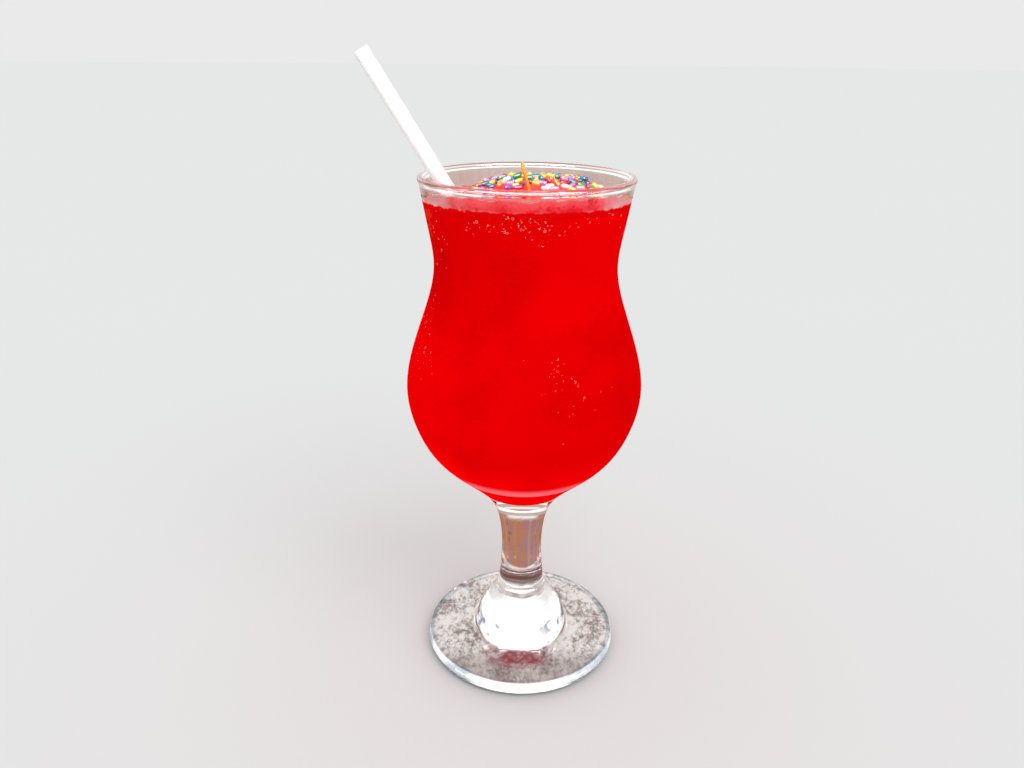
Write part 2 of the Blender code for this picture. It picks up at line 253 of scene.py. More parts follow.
# Sprinkles that show one by one, as (x, y, lift in millimetres), turn and tilt in degrees, and sugar
SHOWN_SPRINKLES = (
    (-17.2, -2.8, 0.6, 15, 8, "cherry"),
    (-14.7, -7.4, 0.7, 5, 0, "forest"),
    (-12.2, -12.6, 0.5, 20, 10, "navy"),
    (-16.2, -10.6, 0.5, 30, 14, "lilac"),
    (-13.4, -15.6, 0.3, 10, 0, "rose"),
    (-11.6, -5.0, 1.9, 160, 16, "lilac"),
    (-14.4, -4.6, 1.7, 50, 10, "rose"),
    (-9.6, -13.8, 1.0, 80, 5, "amber"),
    (-9.4, -8.0, 1.0, 100, 12, "gold"),
    (-6.9, -5.4, 1.4, 12, 8, "sky"),
    (-4.4, -7.6, 1.2, 150, 12, "sky"),
    (-6.1, -12.6, 1.0, 20, 5, "rose"),
    (-6.6, -16.6, 0.6, 35, 12, "violet"),
    (-3.2, -16.8, 0.6, 5, 0, "crimson"),
    (-2.9, -11.4, 1.0, 35, 5, "lemon"),
    (-1.9, -6.6, 1.4, 70, 4, "forest"),
    (-3.9, -14.4, 0.9, 160, 5, "cream"),
    (3.0, -3.6, 1.9, 25, 8, "emerald"),
    (5.4, -1.2, 2.2, 120, 8, "teal"),
    (3.6, -11.4, 0.9, 35, 12, "lemon"),
    (5.9, -7.2, 1.2, 40, 14, "lemon"),
    (2.8, -14.9, 0.6, 5, 0, "gold"),
    (6.1, -17.0, 0.6, 20, 5, "cream"),
    (8.6, -3.4, 1.9, 60, 6, "peach"),
    (7.9, -9.6, 1.2, 130, -20, "orange"),
    (10.2, -13.6, 0.9, 130, -16, "orange"),
    (10.3, -7.6, 1.2, 120, -10, "peach"),
    (9.3, -17.4, 0.5, 170, 0, "rose"),
    (12.2, -3.4, 1.5, 80, 0, "orange"),
    (12.3, -12.0, 0.7, 20, 5, "crimson"),
    (13.6, -7.9, 1.2, 145, -8, "navy"),
    (16.0, -9.8, 0.9, 150, -12, "teal"),
    (12.9, -16.4, 0.6, 160, 0, "cream"),
    (14.8, -4.0, 1.4, 30, 0, "lilac"),
    (17.4, -6.4, 1.1, 70, 5, "orange"),
    (15.3, -17.0, 0.4, 10, 0, "gold"),
    (18.9, -11.4, 0.6, 25, 12, "leaf"),
    (18.4, -14.4, 0.4, 170, 0, "rose"),
    (21.6, -7.4, 0.6, 95, 0, "cherry"),
    (24.2, -5.8, 0.6, 150, -14, "lemon"),
)

# Layers of the other sprinkles, as (least lift, most lift, share of the heap's reach), the tries for
# each, how far over or under a layer a sprinkle still counts in it, their tilt in degrees, the room
# round the strand, their least and greatest share of the length, and the step that slopes are taken over
SPRINKLE_LAYERS = ((0.0004, 0.0007, 1.0), (0.0017, 0.0020, 0.72))
SPRINKLE_TRIES = 900
LAYER_GAP = 0.0006
SPRINKLE_TILT = 9
STRAND_ROOM = 0.0006
SPRINKLE_SIZES = (0.78, 1.15)
SLOPE_STEP = 0.001

# Where bubbles and flecks gather on the slush, as (degrees from the front to +X, height, spread of
# each, how many)
BUBBLE_GROUNDS = (
    (-32, 0.1930, 4, 0.0022, 14),
    (-21, 0.1925, 3, 0.0016, 12),
    (-13, 0.1955, 3, 0.0014, 16),
    (-5, 0.1932, 3, 0.0009, 14),
    (-12, 0.1908, 2, 0.0005, 7),
    (5, 0.1945, 4, 0.0014, 22),
    (1, 0.1903, 3, 0.0008, 6),
    (10, 0.1925, 2, 0.0012, 9),
    (8, 0.1872, 3, 0.0006, 3),
    (18, 0.1915, 4, 0.0018, 8),
    (38, 0.1940, 6, 0.0012, 9),
    (55, 0.1945, 5, 0.0018, 10),
    (-66, 0.1900, 7, 0.0035, 20),
    (-76, 0.1530, 8, 0.0110, 44),
    (-60, 0.1400, 9, 0.0040, 14),
    (16, 0.1400, 7, 0.0060, 26),
    (26, 0.1290, 9, 0.0050, 12),
    (130, 0.1860, 30, 0.0040, 40),
    (-140, 0.1840, 30, 0.0050, 40),
    (180, 0.1450, 25, 0.0120, 30),
)

# Bubbles end a little under the froth, and lie a little out of the slush, whose slope is taken over a
# step. They turn paler from a height upwards
BUBBLE_DEPTH = 0.0006
BUBBLE_LIFT = 0.0001
FLARE_STEP = 0.0005
PALE_BUBBLES_START = 0.180
PALE_BUBBLES_RISE = 0.014


def length(name, description, default):
    return bpy.props.FloatProperty(
        name=name, description=description, default=default, unit="LENGTH", precision=5
    )


def colour(name, description, default):
    return bpy.props.FloatVectorProperty(
        name=name, description=description, default=default, size=3, min=0, max=1, subtype="COLOR"
    )


def amount(name, description, default, unit="NONE"):
    return bpy.props.FloatProperty(
        name=name, description=description, default=default, min=0, unit=unit
    )


def whole(name, description, default):
    return bpy.props.IntProperty(name=name, description=description, default=default, min=0)


class GlassSettings(bpy.types.PropertyGroup):
    """Sizes and clearness of the glass, and the reflections painted on it."""

    wall: length("Wall", "Thickness of the bowl's wall", 0.0023)
    tint: colour("Tint", "Colour of light that comes through the glass", (0.985, 0.985, 0.98))
    # Painted reflection: dark surroundings mirrored in the front of the stem above the collar
    dark: colour("Dark band", "Tint of the front of the stem, above the collar", (0.14, 0.11, 0.11))
    # Painted reflection: bluish-grey surroundings mirrored at the left and right of the foot's edge
    edge: colour("Edge", "Tint of the foot's edge, at its left and right", (0.24, 0.33, 0.42))
    ior: amount("Bending", "Index of refraction of the foot, the stem and the clear rim", 1.5)
    ior_under: amount("Bending under", "Index of refraction of the glass under the drink", 1.18)
    ior_round: amount("Bending round", "Index of refraction of the glass round the drink", 1.06)
    sides: whole("Sides", "Divisions round the glass, the slush and the film", 192)


class DrinkSettings(bpy.types.PropertyGroup):
    """Colours of the slush, and its bubbles."""

    bright: colour("Bright", "Colour of the slush where it is pale", srgb(244, 0, 3))
    deep: colour("Deep", "Colour of the slush where it is dark", srgb(224, 0, 2))
    warm: colour("Warm", "Colour where light from the side warms the slush", srgb(255, 56, 34))
    # Painted highlight: the colour of the pale ring low in the bowl
    ring_highlight: colour("Haze", "Colour of the pale ring low in the bowl", srgb(238, 100, 108))
    bubble: colour("Bubble", "Colour of the reddest bubbles and flecks", srgb(250, 66, 60))
    frost: colour("Frost", "Colour of the palest bubbles and flecks", srgb(255, 200, 190))
    reach: length("Reach", "How far the slush reaches into the wall", 0.0002)
    bubble_radius: length("Bubble radius", "Radius halfway from the smallest to the largest", 0.00028)
    seed: whole("Seed", "Places the bubbles", 4)


class FrothSettings(bpy.types.PropertyGroup):
    """Colours and texture of the froth and of the film above it."""

    pale: colour("Pale", "Colour of the froth where it is thick", srgb(246, 96, 102))
    deep: colour("Deep", "Colour of the froth where it is thin", srgb(232, 28, 38))
    slush: colour("Slush", "Colour of the slush that shows through the froth's foot", srgb(236, 4, 8))
    foam: colour("Foam", "Colour of the foam along the wall", srgb(255, 244, 240))
    foot_rise: length("Foot rise", "How much higher the slush shows at the front", 0.0032)
    aside: colour("Aside", "Colour of the froth at its left and right", srgb(222, 158, 160))
    film: colour("Film", "Colour of the film on the wall above the froth", srgb(214, 196, 188))
    smear: colour("Smear", "Colour of the smears in the film", srgb(250, 240, 238))
    film_top: length("Film top", "Height that the film reaches", 0.2036)
    relief: length("Relief", "Height of the froth's bubbles", 0.00025)


class SprinkleSettings(bpy.types.PropertyGroup):
    """Sizes and number of the sugar sprinkles."""

    radius: length("Radius", "Radius of a sprinkle", 0.00086)
    length: length("Length", "Length of a middling sprinkle", 0.0034)
    spacing: length("Spacing", "Least distance from a random sprinkle to others beside it", 0.0020)
    half_width: length("Half width", "Reach of the heap to each side", 0.0240)
    half_depth: length("Half depth", "Reach of the heap to the front and the back", 0.0165)
    seed: whole("Seed", "Places and colours the random sprinkles", 3)


class StrawSettings(bpy.types.PropertyGroup):
    """Sizes and colour of the straw."""

    radius: length("Radius", "Outer radius of the straw", 0.0029)
    wall: length("Wall", "Thickness of the straw's wall", 0.00045)
    paper: colour("Paper", "Colour of the straw", (0.93, 0.925, 0.92))


class StrandSettings(bpy.types.PropertyGroup):
    """Size and colours of the orange strand."""

    radius: length("Radius", "Radius of the strand", 0.00062)
    body: colour("Body", "Colour of the strand's middle and root", srgb(236, 158, 10))
    tip: colour("Tip", "Colour of the strand's tip", srgb(246, 198, 36))


class StageSettings(bpy.types.PropertyGroup):
    """Floor, light and camera, and the room and cards that only clear glass shows."""

    floor: colour("Floor", "Colour of the floor", srgb(227, 228, 228))
    sky: amount("Soft light", "Strength of the light from all round", 0.82)
    key: amount("Key light", "Strength of the soft light from the front and right", 0.9)
    key_width: amount("Key width", "Angle that the key light fills", math.radians(50), "ROTATION")
    table: colour("Table", "Dark tone of the mottled table under the foot", srgb(112, 84, 78))
    cloth: colour("Cloth", "Pale tone of the mottled table", srgb(228, 219, 215))
    # Painted shade on the mottled table's front, and a painted reflection of the drink's red on it
    shaded: colour("Shaded", "Tone of the mottled table's darker front", srgb(116, 84, 76))
    reflected: colour("Reflected", "Red that the mottled table has from the drink", srgb(134, 58, 68))
    wood: colour("Wood", "Colour of the streaked wood round it, which the stem shows", srgb(182, 122, 88))
    mauve: colour("Mauve", "Second colour of the wood", srgb(166, 122, 126))
    fawn: colour("Fawn", "Pale streaks of the wood", (0.62, 0.44, 0.36))
    knot: colour("Knot", "Dark streaks of the wood", srgb(104, 82, 84))
    gloom: colour("Gloom", "Dark table at the front and sides, which edges the bowl", srgb(88, 46, 44))
    chalk: colour("Chalk", "Pale table straight behind the glass", (0.95, 0.92, 0.90))
    beige: colour("Beige", "Far table behind, which the clear rim shows", srgb(196, 180, 170))
    steel: colour("Steel", "Streaks on the white wall, which the dome shows", srgb(160, 172, 188))
    lamp: amount("Cards", "Brightness of the white cards in front, which the glass mirrors", 20.0)
    lens: amount("Lens", "Focal length of the camera", CAMERA_LENS, "CAMERA")


class Wire:
    """An output of a node. Arithmetic on it adds Math nodes, and add() adds any other node."""

    def __init__(self, tree, socket=None):
        self.tree = tree
        self.socket = socket

    def add(self, kind, settings=None, sockets=None, output=0):
        """Adds a node of a type. Its settings are set first, then its sockets, by name or place, to
        values or wires."""
        node = self.tree.nodes.new(kind)
        for name, value in (settings or {}).items():
            if name == "stops":
                fill_ramp(node.color_ramp, value)
            else:
                setattr(node, name, value)
        for key, value in (sockets or {}).items():
            if isinstance(value, Wire):
                self.tree.links.new(value.socket, node.inputs[key])
            else:
                node.inputs[key].default_value = value
        return Wire(self.tree, node.outputs[output]) if len(node.outputs) else None

    def also(self, output):
        """Another output of the same node."""
        return Wire(self.tree, self.socket.node.outputs[output])

    def math(self, operation, *values):
        """A Math node on wires or numbers."""
        return self.add("ShaderNodeMath", {"operation": operation}, dict(enumerate(values)))

    def __add__(self, other):
        return self.math("ADD", self, other)

    def __mul__(self, other):
        return self.math("MULTIPLY", self, other)

    def __sub__(self, other):
        return self.math("SUBTRACT", self, other)

    def __rsub__(self, other):
        return self.math("SUBTRACT", other, self)

    def __abs__(self):
        return self.math("ABSOLUTE", self)

    __radd__ = __add__
    __rmul__ = __mul__

    def step(self, low, high):
        """0 below low and 1 above high, turning smoothly between them. low may be the higher one."""
        values = {0: self, 1: low, 2: high, 3: 0.0, 4: 1.0}
        return self.add("ShaderNodeMapRange", {"interpolation_type": "SMOOTHSTEP"}, values)

    def band(self, start, full, fading, end):
        """1 from full to fading, and 0 before start and after end, turning smoothly between them."""
        return self.step(start, full) * self.step(end, fading)

    def between(self, first, second):
        """A colour between two, with this wire as the share of the second."""
        values = {0: self, 6: rgba(first), 7: rgba(second)}
        return self.add("ShaderNodeMix", {"data_type": "RGBA"}, values, 2)

    def vector(self, operation, sockets=None, output="Vector"):
        """This place or colour through a Vector Math node."""
        values = {0: self, **(sockets or {})}
        return self.add("ShaderNodeVectorMath", {"operation": operation}, values, output)

    def times(self, share):
        """This colour made brighter or darker."""
        return self.vector("SCALE", {"Scale": share})

    def flat(self):
        """This place without its height."""
        return self.vector("MULTIPLY", {1: (1.0, 1.0, 0.0)})

    def distance(self):
        """How far this place is from the origin."""
        return self.vector("LENGTH", output="Value")

    def split(self):
        """The three parts of this place."""
        x = self.add("ShaderNodeSeparateXYZ", None, {0: self}, "X")
        return x, x.also("Y"), x.also("Z")

    def stretched(self, *scale):
        """This place with each part scaled."""
        return self.add("ShaderNodeMapping", None, {"Vector": self, "Scale": scale})

    def grain(self, scale, detail=2.0, roughness=0.5):
        """Soft noise over this place, with a number of waves per metre."""
        values = {"Vector": self, "Scale": scale, "Detail": detail, "Roughness": roughness}
        return self.add("ShaderNodeTexNoise", None, values)

    def bump(self, distance, strength):
        """Normals of a surface that this wire raises by up to a distance."""
        values = {"Height": self, "Distance": distance, "Strength": strength}
        return self.add("ShaderNodeBump", None, values)


def rgba(value):
    return value if isinstance(value, Wire) else (*value, 1.0)


def fill_ramp(ramp, stops):
    """Gives a ramp its stops, as (position, colour), with a hard change at each."""
    ramp.interpolation = "CONSTANT"
    while len(ramp.elements) < len(stops):
        ramp.elements.new(1.0)
    for element, (position, value) in zip(ramp.elements, stops):
        element.position = position
        element.color = (*value, 1.0)


def new_material(name):
    """A material with no shader yet, and the wire of the place on the piece."""
    made = bpy.data.materials.new(name)
    made.use_nodes = True
    made.node_tree.nodes.clear()
    return made, Wire(made.node_tree).add("ShaderNodeTexCoord", output="Object")


def finish_material(made, shader):
    shader.add("ShaderNodeOutputMaterial", None, {"Surface": shader})
    return made


def principled(made, place, values):
    """Finishes a material with one Principled shader, which has these values or wires."""
    return finish_material(made, place.add("ShaderNodeBsdfPrincipled", None, values))


def emission(made, place, light, strength):
    shader = place.add("ShaderNodeEmission", None, {"Color": light, "Strength": strength})
    return finish_material(made, shader)


def own_tint(place):
    """The number that tells bubbles and sprinkles apart."""
    return place.add("ShaderNodeAttribute", {"attribute_name": "tint"}, output="Fac")


def spline_through(stations):
    """A smooth function of height through (height, radius) stations: a natural cubic spline."""
    z, r = np.array(stations).T
    step = np.diff(z)
    count = len(z)
    system = np.eye(count)
    target = np.zeros(count)
    for i in range(1, count - 1):
        system[i, i - 1 : i + 2] = step[i - 1], 2 * (step[i - 1] + step[i]), step[i]
        target[i] = 6 * ((r[i + 1] - r[i]) / step[i] - (r[i] - r[i - 1]) / step[i - 1])
    bend = np.linalg.solve(system, target)

    def radius(height):
        i = np.clip(np.searchsorted(z, height) - 1, 0, count - 2)
        above, below, h = z[i + 1] - height, height - z[i], step[i]
        curved = (bend[i] * above**3 + bend[i + 1] * below**3) / (6 * h)
        straight = (r[i] / h - bend[i] * h / 6) * above + (r[i + 1] / h - bend[i + 1] * h / 6) * below
        return curved + straight

    return radius


outside_radius = spline_through(BOWL_STATIONS)


def outside_line(low, high, steps):
    """Outside of the stem and bowl between two heights, upwards, as (radius, height)."""
    heights = np.linspace(low, high, steps + 1)
    return np.stack([outside_radius(heights), heights], 1)


def inside_line(inset, steps=140, bottom_steps=24):
    """The bowl's inside at a distance from its outside: its round bottom from the axis outwards, and
    its wall up to the lip."""
    line = outside_line(BOTTOM_JOIN, BOWL_STATIONS[-1][0] - LIP_RADIUS / 2, steps)
    along = np.gradient(line, axis=0)
    along /= np.linalg.norm(along, axis=1)[:, None]
    wall = line + inset * np.stack([-along[:, 1], along[:, 0]], 1)
    start, slope = wall[0], along[0]
    centre = start[1] + start[0] * slope[0] / slope[1]
    ball = math.hypot(start[0], centre - start[1])
    turn = math.atan2(start[0], centre - start[1])
    angles = np.linspace(0, turn, bottom_steps + 1)[:-1]
    bottom = np.stack([ball * np.sin(angles), centre - ball * np.cos(angles)], 1)
    return bottom, wall


def radius_at(height, wall):
    """Radius of a line of (radius, height) points at a height."""
    return float(np.interp(height, wall[:, 1], wall[:, 0]))


def arc(centre, radii, start, end, steps):
    """Points on an upright ellipse, with angles in degrees from +X towards +Z."""
    angles = np.radians(np.linspace(start, end, steps + 1))
    return np.stack([centre[0] + radii[0] * np.cos(angles), centre[1] + radii[1] * np.sin(angles)], 1)


def add_object(name, data):
    made = bpy.data.objects.new(name, data)
    bpy.context.scene.collection.objects.link(made)
    return made


def mesh_object(name, points, edges=(), faces=()):
    mesh = bpy.data.meshes.new(name)
    mesh.from_pydata(points, edges, faces)
    return add_object(name, mesh)


def plain_mesh(made):
    """The mesh that an object's curve or modifiers give."""
    bpy.context.view_layer.update()
    evaluated = made.evaluated_get(bpy.context.evaluated_depsgraph_get())
    return bpy.data.meshes.new_from_object(evaluated)


def make_plain(made):
    """Turns what the object's modifiers give into its own mesh."""
    result = plain_mesh(made)
    made.modifiers.clear()
    made.data = result


def turned(name, outline, sides):
    """A turned piece. The outline is (radius, height), and runs down the outer side."""
    points = [(float(r), 0.0, float(z)) for r, z in outline]
    made = mesh_object(name, points, edges=[(i, i + 1) for i in range(len(points) - 1)])
    screw = made.modifiers.new("Screw", "SCREW")
    screw.steps = sides
    screw.render_steps = sides
    screw.use_merge_vertices = True
    screw.merge_threshold = 0.000001
    screw.use_smooth_shade = True
    make_plain(made)
    return made


def reshape(made, place):
    """Moves each vertex to place(position)."""
    for vertex in made.data.vertices:
        vertex.co = place(vertex.co.copy())
    made.data.update()


def smooth_step(value):
    value = min(max(value, 0.0), 1.0)
    return value * value * (3 - 2 * value)


def drink_top(x, y):
    """Height at which the froth floats on the drink: higher at the front, and wavy along the wall."""
    angle = math.atan2(y, x)
    outwards = (math.hypot(x, y) / RIM_RADIUS) ** 2
    front = ((1 - math.sin(angle)) / 2) ** 2
    waves = sum(height * math.sin(count * angle + phase) for height, count, phase in DRINK_WAVES)
    return DRINK_LEVEL + outwards * (DRINK_FRONT_RISE * front + waves)


def froth_top(x, y):
    """Height of the froth: level at the back, rising to the front wall, with a mound in the middle."""
    start, end = FRONT_SLOPE
    front = smooth_step((start - y) / (start - end))
    across = (x - MOUND_CENTRE[0]) / MOUND_SPREAD[0]
    along = (y - MOUND_CENTRE[1]) / MOUND_SPREAD[1]
    mound = math.exp(-((across**2 + along**2) ** 2))
    lumps = sum(h * math.sin(a * x + b * y + phase) for h, a, b, phase in FROTH_LUMPS)
    return FROTH_LEVEL + FROTH_FRONT_RISE * front + MOUND_HEIGHT * mound + lumps


def froth_normal(x, y):
    """The way that the froth's top faces."""
    slope_x = (froth_top(x + SLOPE_STEP, y) - froth_top(x, y)) / SLOPE_STEP
    slope_y = (froth_top(x, y + SLOPE_STEP) - froth_top(x, y)) / SLOPE_STEP
    return Vector((-slope_x, -slope_y, 1)).normalized()


def see_through(made, glass, share):
    """Finishes a material of clear glass. A share of the lamps' light goes straight through it, and
    light that has bounced in it for long gets out."""
    panes = [
        glass.add("ShaderNodeBsdfTransparent", None, {"Color": (value, value, value, 1.0)})
        for value in (GLASS_LIGHT, share)
    ]
    light = glass.add("ShaderNodeLightPath", output="Is Shadow Ray")
    caught = glass.math("GREATER_THAN", light.also("Ray Depth"), MOST_BOUNCES)
    lamps = glass.math("MAXIMUM", light, light.also("Is Diffuse Ray"))
    seen = glass.add("ShaderNodeMixShader", None, {0: caught, 1: glass, 2: panes[0]})
    shader = glass.add("ShaderNodeMixShader", None, {0: lamps, 1: seen, 2: panes[1]})
    return finish_material(made, shader)


def glass_material(name, settings, share):
    """Glass that bends and mirrors light. It has a painted reflection of dark surroundings as a dark band
    on its front above the collar, a dull ring on top of the dome, and a painted bluish-grey reflection as
    a tint at the left and right of the foot's edge."""
    made, place = new_material(name)
    x, y, z = place.split()
    # Painted reflection: the front above the collar is darkened as if it mirrored dark surroundings
    dark = z.band(*DARK_REFLECTION_BAND) * y.step(*GLASS_FRONT)
    # Painted reflection: bluish-grey streaks at the left and right of the foot's edge
    edge = z.step(*EDGE_REFLECTION_HEIGHTS) * place.flat().distance().step(*EDGE_REFLECTION_RADII) * abs(x).step(*EDGE_REFLECTION_ASIDE)
    edge = edge * (place.grain(90.0).step(0.40, 0.60) * 0.6 + 0.4)
    values = {
        "Base Color": edge.between(dark.between(settings.tint, settings.dark), settings.edge),
        "Roughness": z.band(*DULL_BAND) * 0.35,
        "IOR": settings.ior,
        "Transmission Weight": 1.0,
    }
    return see_through(made, place.add("ShaderNodeBsdfPrincipled", None, values), share)


def wet_glass_material(name, tint, ior):
    """Glass against the drink, which bends light a little and mirrors nothing."""
    made, place = new_material(name)
    values = {"Color": rgba(tint), "Roughness": 0.0, "IOR": ior}
    return see_through(made, place.add("ShaderNodeBsdfRefraction", None, values), GLASS_LIGHT)


def slush_material(settings):
    """Wet red slush: broad bright and dark patches, a grain of ice, a warm upper left edge of painted
    side light and a painted highlight as a pale low ring. It glows with painted light, strongest low in
    the bowl. Below the waist the left has more of it than the right, and above the waist less."""
    made, place = new_material("red slush")
    x, _, z = place.split()
    patches = place.grain(30.0)
    ice = place.grain(700.0, 3.0)
    red = (patches * 0.8 + ice * 0.2).step(0.34, 0.58).between(settings.deep, settings.bright)
    # Painted light: side light warming the upper left edge
    warm = x.step(*WARM_LEFT) * z.step(*WARM_HEIGHTS) * place.grain(420.0).step(0.42, 0.60) * 0.8
    red = warm.between(red, settings.warm)
    # Painted highlight: a pale ring low in the bowl
    ring = z.band(*RING_HIGHLIGHT_BAND) * abs(x).step(*RING_HIGHLIGHT_ASIDE)
    red = ring.between(red, settings.ring_highlight)
    # Painted light: the slush glows, most low in the bowl, with the left brighter below the waist and
    # darker above
    left = x.step(*LEFT_LIGHT) * (z.step(*LEFT_HEIGHTS) * 0.23 - 0.09)
    light = z.step(*BOWL_LIGHT) * 0.38 + z.step(*WAIST_LIGHT) * 0.06 + left + 0.31
    values = {
        "Base Color": red.times(0.6),
        "Roughness": 0.4,
        "Specular IOR Level": 0.0,
        "Emission Color": red.times(light),
        "Emission Strength": 1.0,
        "Normal": ice.bump(0.0002, 0.4),
    }
    return principled(made, place, values)


def froth_material(settings):
    """Pink froth: slush shows through its wavy foot, it pales upwards, and white foam lies along the
    wall. It glows with painted light, most where the slush shows."""
    made, place = new_material("pink froth")
    x, _, z = place.split()
    flat = place.flat()
    front = 0.5 - flat.vector("NORMALIZE").split()[1] * 0.5
    patches = place.grain(170.0, 3.0)
    ragged = place.grain(420.0, 3.0)
    cells = place.add("ShaderNodeTexVoronoi", None, {"Vector": place, "Scale": 900.0})
    above = z - front * settings.foot_rise - DRINK_LEVEL + (ragged - 0.5) * FROTH_WAVES
    paling = above.step(*FROTH_PALING) * 0.6 + (patches + cells * 0.2).step(0.42, 0.82) * 0.4
    pink = paling.between(settings.deep, settings.pale)
    specks = place.grain(480.0).step(0.60, 0.68) * 0.6
    pink = specks.between(pink, [c * 0.62 for c in settings.deep])
    thin = (abs(x - FROTH_MIDDLE) + (patches - 0.5) * 0.012).step(*FROTH_ASIDE) * 0.85
    pink = thin.between(pink, settings.aside)
    foam = flat.distance().band(*FOAM_RING) * (patches * 0.7 + ragged * 0.3).step(0.46, 0.62)
    pink = (foam * 0.8).between(pink, settings.foam)
    sunk = above.step(*FROTH_SUNK)
    pink = sunk.between(pink, settings.slush)
    values = {
        "Base Color": pink.times(1.0 - sunk * 0.4),
        "Roughness": 0.45,
        "Specular IOR Level": 0.0,
        # Painted light: a glow, strongest where the slush shows through
        "Emission Color": pink.times(sunk * 0.28 + 0.14),
        "Emission Strength": 1.0,
        "Normal": (cells * (1.0 - sunk)).bump(0.0003, 0.5),
    }
    return principled(made, place, values)


def film_material(settings):
    """A thin film that the drink leaves on the wall: faint upright ribs and a few pale smears."""
    made, place = new_material("film")
    ribs = place.stretched(1.0, 1.0, 0.12).grain(520.0).step(0.35, 0.7)
    smears = place.grain(150.0, 3.0).step(0.60, 0.76)
    fade = place.split()[2].step(settings.film_top, settings.film_top - FILM_FADE)
    values = {
        "Base Color": smears.between(settings.film, settings.smear),
        "Roughness": 0.5,
        "Specular IOR Level": 0.1,
        "Alpha": (ribs * 0.05 + smears * 0.45 + 0.14) * fade,
    }
    return principled(made, place, values)


def bubble_material(settings):
    """Rims of bubbles and flecks of frost, from red-pink to nearly white, with a faint glow of painted
    light.
    """
    made, place = new_material("bubbles")
    tone = (own_tint(place) * 0.8 + place.grain(900.0) * 0.3).between(settings.bubble, settings.frost)
    values = {
        "Base Color": tone,
        "Roughness": 0.3,
        "Specular IOR Level": 0.1,
        # Painted light: a faint glow
        "Emission Color": tone,
        "Emission Strength": 0.1,
    }
    return principled(made, place, values)


def sprinkle_material():
    """Sugar shell: each sprinkle has the colour that its tint picks, with faint pale specks and a faint
    glow of painted light.
    """
    made, place = new_material("sugar sprinkles")
    stops = [(k / len(SUGARS), value) for k, value in enumerate(SUGARS.values())]
    shell = place.add("ShaderNodeValToRGB", {"stops": stops}, {0: own_tint(place)})
    speck = place.grain(1500.0).step(0.55, 0.8) * 0.2
    tone = speck.between(shell, (0.95, 0.9, 0.9))
    values = {
        "Base Color": tone,
        "Roughness": 0.32,
        "Specular IOR Level": 0.5,
        # Painted light: a faint glow
        "Emission Color": tone,
        "Emission Strength": 0.08,
        "Normal": speck.bump(0.0001, 0.3),
    }
    return principled(made, place, values)


def straw_material(settings):
    """White paper with fine fibres."""
    made, place = new_material("white paper")
    fibres = place.grain(1800.0, 3.0)
    white = fibres.step(0.3, 0.7).between([c * 0.96 for c in settings.paper], settings.paper)
    values = {"Base Color": white, "Roughness": 0.55, "Normal": fibres.bump(0.00005, 0.3)}
    return principled(made, place, values)


def strand_material(settings):
    """Boiled sugar: orange at the root and yellow at the tip."""
    made, place = new_material("orange sugar")
    fibres = place.grain(1400.0)
    rise = (place.split()[2] + (fibres - 0.5) * 0.004).step(*STRAND_YELLOW)
    values = {
        "Base Color": rise.between(settings.body, settings.tip),
        "Roughness": 0.4,
        "Specular IOR Level": 0.1,
        "Normal": fibres.bump(0.0001, 0.4),
    }
    return principled(made, place, values)


def floor_material(settings):
    """A pale floor with faint, broad patches."""
    made, place = new_material("pale floor")
    soft = place.grain(3.0, 3.0).step(0.35, 0.7) * 0.05
    values = {
        "Base Color": soft.between(settings.floor, [c * 0.94 for c in settings.floor]),
        "Roughness": 0.7,
        "Specular IOR Level": 0.0,
    }
    return principled(made, place, values)


def room_material(settings):
    """Table and walls that show in clear glass. The table is mottled under the foot, with painted shade
    on its front and a painted reflection of the drink's red there, and streaked wood round it, and
    farther off it has the far tones. The walls are white, with streaks of steel."""
    made, place = new_material("room in the glass")
    x, y, z = place.split()
    away = place.distance()
    rays = place.vector("NORMALIZE")
    behind = rays.split()[1]
    mottle = place.stretched(1.1, 0.8, 1.0).grain(400.0, 4.0, 0.85) + (place.grain(70.0) - 0.5) * 0.6
    mottle = mottle.step(0.34, 0.60)
    near = mottle.between(settings.table, settings.cloth)
    # Painted shade on the table's front, then a painted reflection of the drink's red
    front = y.step(*TABLE_SHADE_FRONT)
    near = (front * 0.36).between(near.times(1.0 - front * 0.25), settings.shaded)
    mirrored = away.band(*MIRRORED_RING) * y.step(*MIRRORED_FRONT)
    mirrored = mirrored * abs(x - MIRRORED_MIDDLE).step(*MIRRORED_ASIDE)
    near = (mirrored * (1.0 - mottle * 0.6)).between(near, settings.reflected)
    streaks = rays.grain(4.0, 1.0) + (place.grain(20.0) - 0.5) * 0.5
    wood = streaks.step(0.46, 0.58).between(settings.wood, settings.mauve)
    wood = (rays.grain(9.0).step(0.56, 0.70) * 0.6).between(wood, settings.fawn)
    knots = rays.grain(11.0) + (place.grain(30.0) - 0.5)
    wood = (knots.step(0.62, 0.76) * 0.8).between(wood, settings.knot)
    tone = away.step(*WOOD_START).between(near, wood)
    for name, distances, ways in FAR_TONES:
        tone = (away.step(*distances) * behind.step(*ways)).between(tone, getattr(settings, name))
    steel = behind.step(*STEEL_WAYS) * rays.grain(7.0).step(0.52, 0.60)
    white = steel.between(WHITE_WALL, settings.steel)
    wall = z.step(*WALL_START) * behind.step(*WALL_WAYS)
    walls = place.math("MAXIMUM", wall, z.step(*UPPER_WALL_START))
    return emission(made, place, walls.between(tone, white), 1.0)


def card_material(strength):
    made, place = new_material("white card")
    return emission(made, place, (1.0, 1.0, 1.0, 1.0), strength)


def glass_only(made):
    """Keeps a piece of the stage out of sight and out of the light, so that only glass shows it."""
    made.visible_camera = False
    made.visible_diffuse = False
    made.visible_shadow = False


